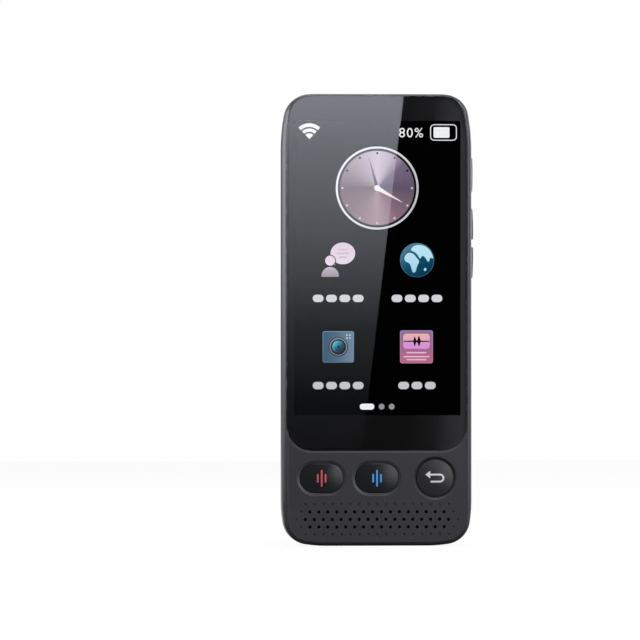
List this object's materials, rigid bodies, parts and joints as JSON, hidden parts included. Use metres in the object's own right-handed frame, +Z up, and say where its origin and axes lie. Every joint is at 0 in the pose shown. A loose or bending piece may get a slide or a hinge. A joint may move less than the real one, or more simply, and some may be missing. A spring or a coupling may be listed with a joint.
{
  "type": "handheld translator",
  "caption": "Slab-shaped handheld translator with a touch display, talk keys and a speaker grille below it, side keys and a rear camera.",
  "frame": {"origin": "on the flat base face, at the middle of the width and of the thickness", "axes": "+Z up along the device's length, +X to the right as the display is seen, +Y from the display side to the camera side"},
  "size_m": [0.0578, 0.0128, 0.1353],
  "materials": {
    "casing_satin": "smooth satin dark grey coating",
    "panel_grained": "fine grained dark grey plastic",
    "key_gloss": "glossy near-black plastic",
    "key_satin": "satin dark grey plastic",
    "side_key_satin": "satin dark grey plastic",
    "cover_glass": "clear cover glass with a black printed border",
    "camera_glass": "coated clear glass",
    "display": "display module",
    "polished_ring": "polished dark metal",
    "spun_disc": "spun black anodised metal",
    "lens_black": "black lens barrel",
    "inner_plastic": "black moulded plastic",
    "board": "green circuit board laminate",
    "chip": "black chip package",
    "sheet_steel": "thin bright sheet steel",
    "screw_steel": "blackened steel",
    "flex": "amber polyimide film",
    "pouch": "aluminised battery pouch",
    "foam": "black foam and rubber",
    "diaphragm": "thin speaker film",
    "magnet": "plated magnet",
    "mesh": "fine black dust mesh"
  },
  "bodies": {
    "device": {"battery": "pouch", "battery_lead": "flex", "battery_pad": "foam", "board_chips": "chip", "board_screws": "screw_steel", "camera_module": "lens_black", "camera_ring": "polished_ring", "camera_trim": "spun_disc", "camera_window": "camera_glass", "cover_glass": "cover_glass", "display_flex": "flex", "display_panel": "display", "display_tape": "foam", "front_lens": "camera_glass", "front_mic_boot": "foam", "front_microphone": "sheet_steel", "front_panel": "panel_grained", "grille_mesh": "mesh", "key_board": "board", "key_board_screws": "screw_steel", "key_switches": "sheet_steel", "left_speaker_diaphragm": "diaphragm", "left_speaker_frame": "inner_plastic", "left_speaker_magnet": "magnet", "lens_barrel": "lens_black", "main_board": "board", "main_flex": "flex", "mid_frame": "casing_satin", "rear_mic_boot": "foam", "rear_mic_insert": "inner_plastic", "rear_microphone": "sheet_steel", "rear_shell": "casing_satin", "right_speaker_diaphragm": "diaphragm", "right_speaker_frame": "inner_plastic", "right_speaker_magnet": "magnet", "shield_cans": "sheet_steel", "side_key_strip": "flex", "side_switches": "sheet_steel", "speaker_gaskets": "foam", "sub_board": "board", "usb_shell": "sheet_steel", "usb_tongue": "inner_plastic", "vibration_motor": "sheet_steel", "wifi_antenna": "flex"},
    "left_talk_key": {"left_talk_key": "key_gloss", "left_talk_plunger": "inner_plastic"},
    "right_talk_key": {"right_talk_key": "key_gloss", "right_talk_plunger": "inner_plastic"},
    "back_key": {"back_key": "key_satin", "back_plunger": "inner_plastic"},
    "power_key": {"power_key": "side_key_satin", "power_plunger": "inner_plastic"},
    "volume_up_key": {"volume_up_key": "side_key_satin", "volume_up_plunger": "inner_plastic"},
    "volume_down_key": {"volume_down_key": "side_key_satin", "volume_down_plunger": "inner_plastic"}
  },
  "joints": [
    {"name": "left_talk_press", "type": "slide", "parent": "device", "child": "left_talk_key", "axis": [0, 1, 0], "range_m": [0, 0.0003], "stiffness_N_per_m": 800, "springref_m": -0.0002},
    {"name": "right_talk_press", "type": "slide", "parent": "device", "child": "right_talk_key", "axis": [0, 1, 0], "range_m": [0, 0.0003], "stiffness_N_per_m": 800, "springref_m": -0.0002},
    {"name": "back_press", "type": "slide", "parent": "device", "child": "back_key", "axis": [0, 1, 0], "range_m": [0, 0.0003], "stiffness_N_per_m": 800, "springref_m": -0.0002},
    {"name": "power_press", "type": "slide", "parent": "device", "child": "power_key", "axis": [-1, 0, 0], "range_m": [0, 0.0003], "stiffness_N_per_m": 800, "springref_m": -0.0002},
    {"name": "volume_up_press", "type": "slide", "parent": "device", "child": "volume_up_key", "axis": [-1, 0, 0], "range_m": [0, 0.0003], "stiffness_N_per_m": 800, "springref_m": -0.0002},
    {"name": "volume_down_press", "type": "slide", "parent": "device", "child": "volume_down_key", "axis": [-1, 0, 0], "range_m": [0, 0.0003], "stiffness_N_per_m": 800, "springref_m": -0.0002}
  ]
}
